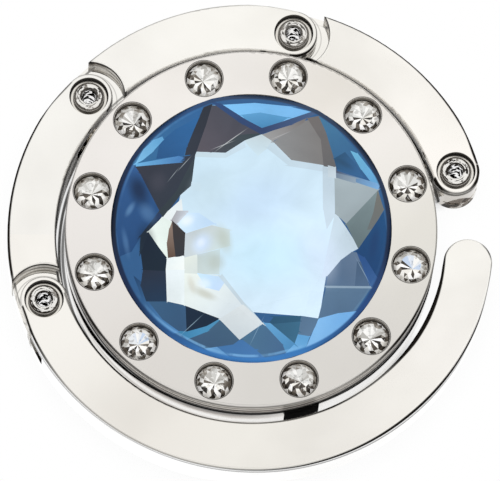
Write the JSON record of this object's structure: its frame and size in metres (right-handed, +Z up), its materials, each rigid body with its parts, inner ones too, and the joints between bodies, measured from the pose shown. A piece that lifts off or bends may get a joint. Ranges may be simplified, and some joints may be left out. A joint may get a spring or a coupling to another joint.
{
  "type": "folding purse hook",
  "caption": "Round crystal-set disc that rests on a table edge, with a jointed swivelling arm that folds round it as a ring and opens into a hook for a bag.",
  "frame": {"origin": "centre of the rubber pad's underside, on the disc's axis", "axes": "+Z is up through the crystal; the arm lies folded round the disc in the XY plane, its mouth towards +X"},
  "size_m": [0.0448, 0.045, 0.0099],
  "materials": {
    "plated_base": "polished silver plating over cast zinc",
    "plated_face": "mirror-polished silver plating over cast zinc",
    "plated_arm": "mirror-polished silver plating over cast zinc",
    "rivet_plate": "bright plated hollow rivets with rolled heads",
    "washer_steel": "plain steel",
    "blue_crystal": "cut and polished light sapphire glass, foiled behind",
    "clear_stone": "clear cut glass, foiled behind",
    "magnet": "black sintered magnet",
    "pad_rubber": "matt black rubber"
  },
  "bodies": {
    "disc": {"base_casting": "plated_base", "face_plate": "plated_face", "anti_slip_pad": "pad_rubber", "centre_crystal": "blue_crystal", "disc_magnet": "magnet", "stone_01": "clear_stone", "stone_02": "clear_stone", "stone_03": "clear_stone", "stone_04": "clear_stone", "stone_05": "clear_stone", "stone_06": "clear_stone", "stone_07": "clear_stone", "stone_08": "clear_stone", "stone_09": "clear_stone", "stone_10": "clear_stone", "stone_11": "clear_stone", "stone_12": "clear_stone"},
    "swivel": {"swivel_lug": "plated_arm", "swivel_washer": "washer_steel"},
    "first_arm": {"first_link": "plated_arm", "hinge_rivet_1": "rivet_plate"},
    "second_arm": {"second_link": "plated_arm", "hinge_rivet_2": "rivet_plate"},
    "third_arm": {"third_link": "plated_arm", "hinge_rivet_3": "rivet_plate"},
    "hook": {"hook_link": "plated_arm", "hook_magnet": "magnet", "hinge_rivet_4": "rivet_plate"}
  },
  "joints": [
    {"name": "swivel_turn", "type": "hinge", "parent": "disc", "child": "swivel", "pos_m": [0, 0, 0.0033], "axis": [-0.9511, -0.309, 0], "range_deg": [-90, 90]},
    {"name": "lug_hinge", "type": "hinge", "parent": "swivel", "child": "first_arm", "pos_m": [0.01912, 0.00621, 0.0033], "axis": [0, 0, -1], "range_deg": [0, 54]},
    {"name": "second_hinge", "type": "hinge", "parent": "first_arm", "child": "second_arm", "pos_m": [0.00418, 0.01966, 0.0033], "axis": [0, 0, -1], "range_deg": [0, 13.5]},
    {"name": "third_hinge", "type": "hinge", "parent": "second_arm", "child": "third_arm", "pos_m": [-0.01494, 0.01345, 0.0033], "axis": [0, 0, -1], "range_deg": [0, 9]},
    {"name": "hook_hinge", "type": "hinge", "parent": "third_arm", "child": "hook", "pos_m": [-0.01912, -0.00621, 0.0033], "axis": [0, 0, -1], "range_deg": [0, 90]}
  ],
  "couplings": [
    {"joint": "lug_hinge", "follows": "hook_hinge", "ratio": 0.6},
    {"joint": "second_hinge", "follows": "hook_hinge", "ratio": 0.15},
    {"joint": "third_hinge", "follows": "hook_hinge", "ratio": 0.1}
  ]
}
